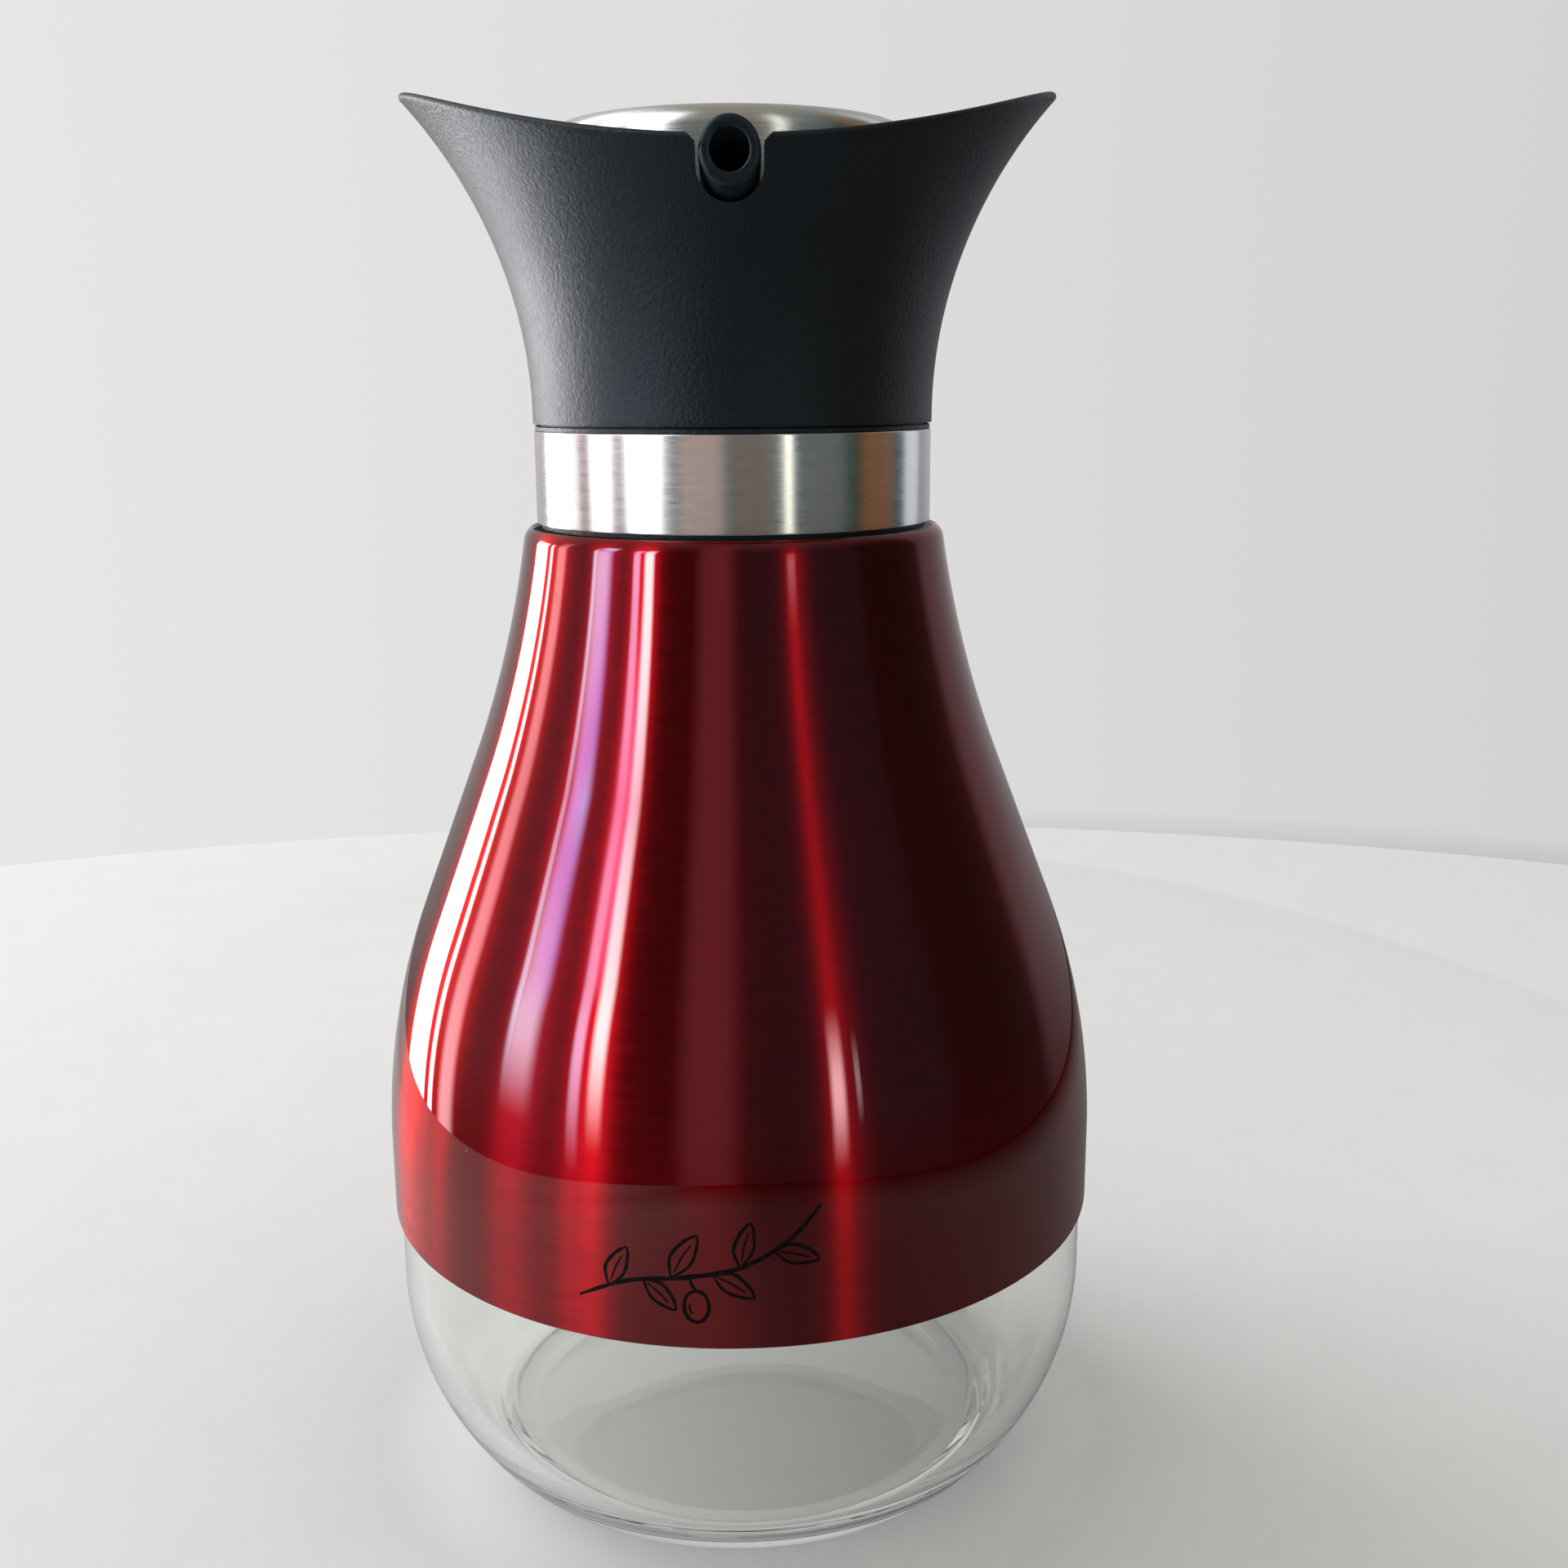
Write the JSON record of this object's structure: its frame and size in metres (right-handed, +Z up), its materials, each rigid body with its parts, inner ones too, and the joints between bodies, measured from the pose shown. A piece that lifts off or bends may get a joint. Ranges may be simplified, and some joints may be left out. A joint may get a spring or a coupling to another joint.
{
  "type": "cooking-oil dispenser bottle",
  "caption": "Refillable glass cooking-oil dispenser in a red-lacquered steel sleeve, with a screw-on flared drip-catching head and a lift-out steel-capped pourer.",
  "frame": {"origin": "centre of the bottle's foot on the table", "axes": "+Z up along the bottle's axis, spout towards -Y, wings of the head along X"},
  "size_m": [0.102, 0.102, 0.1903],
  "materials": {
    "clear_glass": "clear, faint grey-green in the thick foot",
    "red_lacquered_steel": "translucent red lacquer over circumferentially brushed steel, high gloss",
    "black_tape": "matt",
    "silicone": "soft translucent white",
    "black_plastic": "satin, fine spark-eroded grain",
    "brushed_steel": "brushed round the axis",
    "black_spout_plastic": "satin",
    "vent_plastic": "satin, milky"
  },
  "bodies": {
    "bottle": {"glass_bottle": "clear_glass", "steel_sleeve": "red_lacquered_steel", "sleeve_tape": "black_tape"},
    "gasket": {"neck_gasket": "silicone"},
    "head": {"screw_collar": "black_plastic", "neck_ring": "brushed_steel", "flared_head": "black_plastic"},
    "pourer": {"pourer_body": "black_plastic", "stopper_seal": "silicone", "spout_tube": "black_spout_plastic", "vent_tube": "vent_plastic", "steel_cap": "brushed_steel"}
  },
  "joints": [
    {"name": "head_rise", "type": "slide", "parent": "bottle", "child": "gasket", "axis": [0, 0, 1], "range_m": [0, 0.0128]},
    {"name": "head_unscrew", "type": "hinge", "parent": "gasket", "child": "head", "pos_m": [0, 0, 0.1483], "axis": [0, 0, 1], "range_deg": [0, 1080]},
    {"name": "pourer_lift", "type": "slide", "parent": "head", "child": "pourer", "axis": [0, 0, 1], "range_m": [0, 0.066]}
  ],
  "couplings": [
    {"joint": "head_rise", "follows": "head_unscrew", "m_per_rad": 0.00067375}
  ]
}
